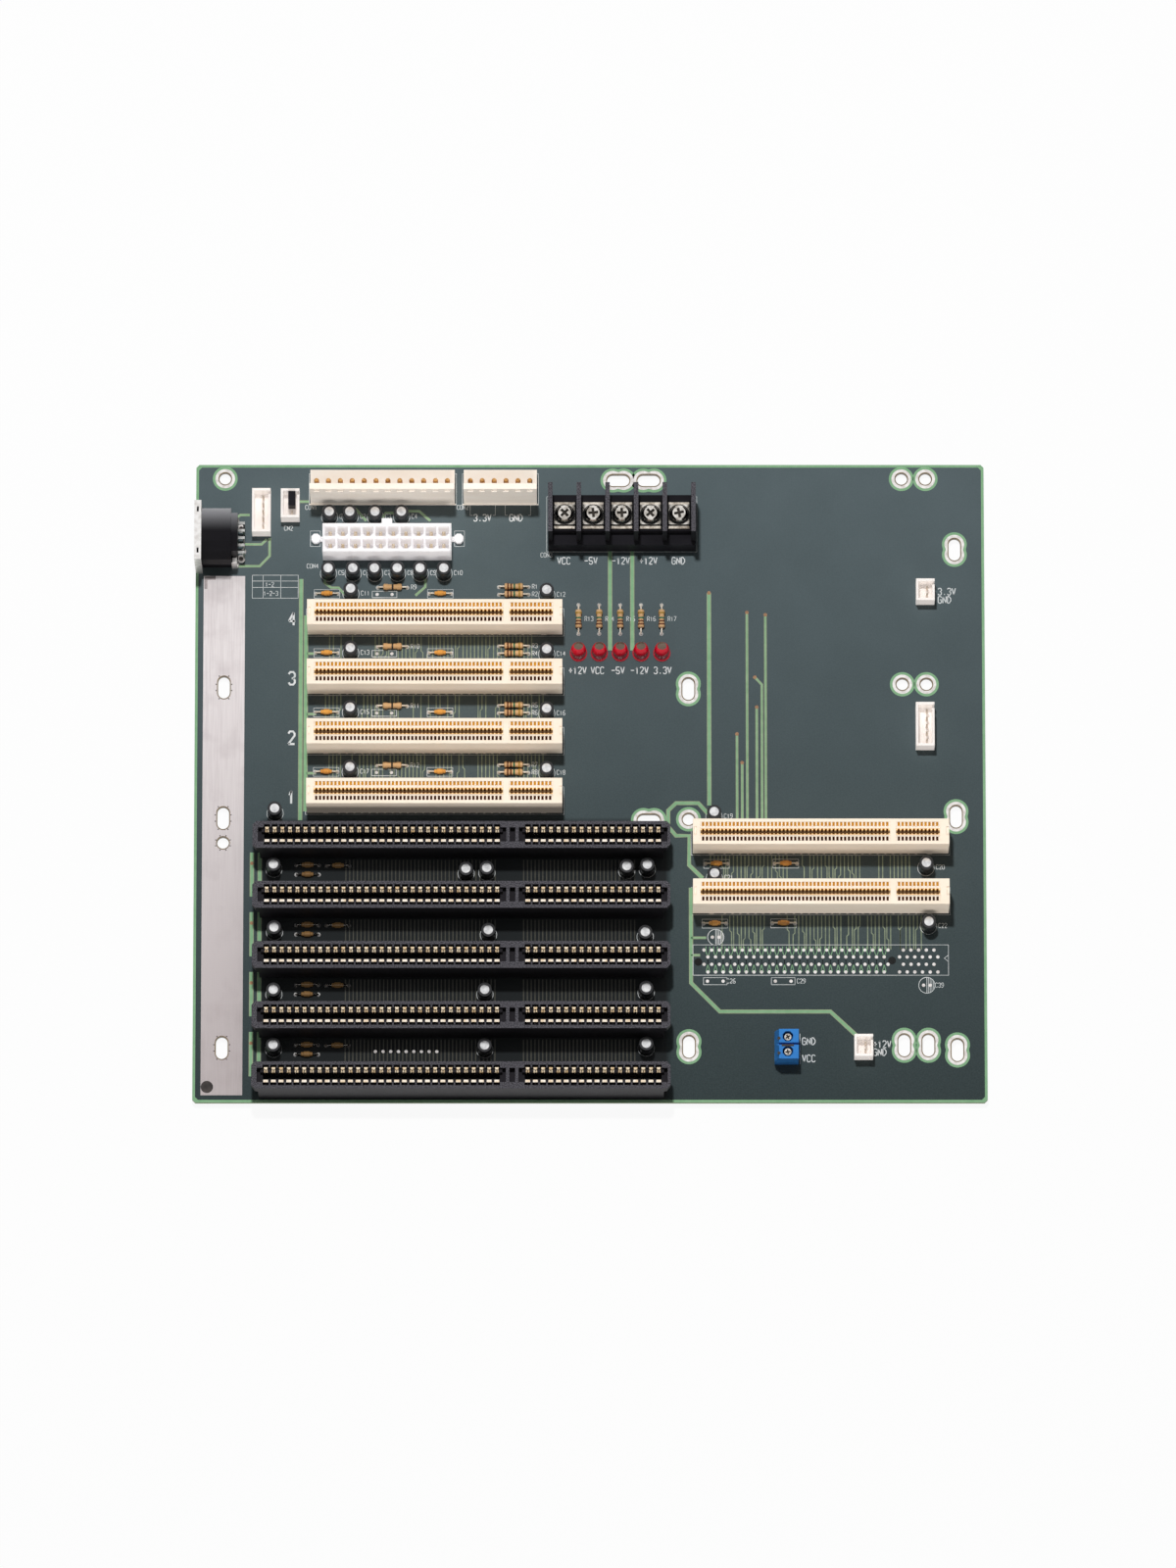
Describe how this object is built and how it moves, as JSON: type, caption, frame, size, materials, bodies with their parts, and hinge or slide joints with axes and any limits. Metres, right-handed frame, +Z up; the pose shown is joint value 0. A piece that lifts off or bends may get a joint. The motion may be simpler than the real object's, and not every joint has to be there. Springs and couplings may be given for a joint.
{
  "type": "passive backplane",
  "caption": "Flat circuit board with rows of card slots, power headers, a barrier strip, a round keyboard socket, indicator lamps and slotted mounting holes.",
  "frame": {"origin": "under the middle of the board, on the plane that the solder joints rest on", "axes": "+X along the card slots to the right, +Y towards the power headers, +Z up out of the board"},
  "size_m": [0.263, 0.2176, 0.0249],
  "materials": {
    "solder_mask": "grey-green solder mask over copper, semi-gloss",
    "cream_plastic": "moulded, satin",
    "black_plastic": "moulded, satin",
    "ivory_plastic": "moulded nylon, satin",
    "white_plastic": "moulded nylon, satin",
    "blue_plastic": "moulded, semi-gloss",
    "contact_gold": "gold-plated contact metal",
    "bright_steel": "plated steel",
    "solder": "bright solder",
    "lamp_red": "tinted clear epoxy",
    "resistor_tan": "lacquered, colour bands",
    "bead_orange": "glazed ceramic",
    "can_sleeve": "shrunk sleeve over aluminium"
  },
  "bodies": {
    "root": {"barrier_strip": "black_plastic", "circuit_board": "solder_mask", "clamp_washers": "bright_steel", "header_cans": "can_sleeve", "jumper_cap": "black_plastic", "keyboard_socket": "black_plastic", "lamp_1": "lamp_red", "lamp_2": "lamp_red", "lamp_3": "lamp_red", "lamp_4": "lamp_red", "lamp_5": "lamp_red", "lamp_resistors": "resistor_tan", "left_five_way_header": "white_plastic", "left_five_way_pins": "contact_gold", "link_resistors": "resistor_tan", "long_slot_1": "black_plastic", "long_slot_2": "black_plastic", "long_slot_3": "black_plastic", "long_slot_4": "black_plastic", "long_slot_5": "black_plastic", "lower_beads": "bead_orange", "lower_cans": "can_sleeve", "lower_two_way_header": "white_plastic", "lower_two_way_pins": "contact_gold", "main_header": "white_plastic", "main_header_pins": "contact_gold", "pair_resistors": "resistor_tan", "right_beads": "bead_orange", "right_cans": "can_sleeve", "right_five_way_header": "white_plastic", "right_five_way_pins": "contact_gold", "short_slot_1": "cream_plastic", "short_slot_2": "cream_plastic", "short_slot_3": "cream_plastic", "short_slot_4": "cream_plastic", "short_slot_5": "cream_plastic", "short_slot_6": "cream_plastic", "six_way_header": "ivory_plastic", "six_way_pins": "contact_gold", "socket_face_plate": "bright_steel", "socket_terminals": "solder", "solder_joints": "solder", "terminal_plates": "bright_steel", "terminal_screws": "bright_steel", "three_way_header": "white_plastic", "three_way_pins": "contact_gold", "twelve_way_header": "ivory_plastic", "twelve_way_pins": "contact_gold", "upper_beads": "bead_orange", "upper_cans": "can_sleeve", "upper_two_way_header": "white_plastic", "upper_two_way_pins": "contact_gold", "wire_terminal": "blue_plastic", "wire_terminal_screws": "bright_steel"}
  },
  "joints": []
}
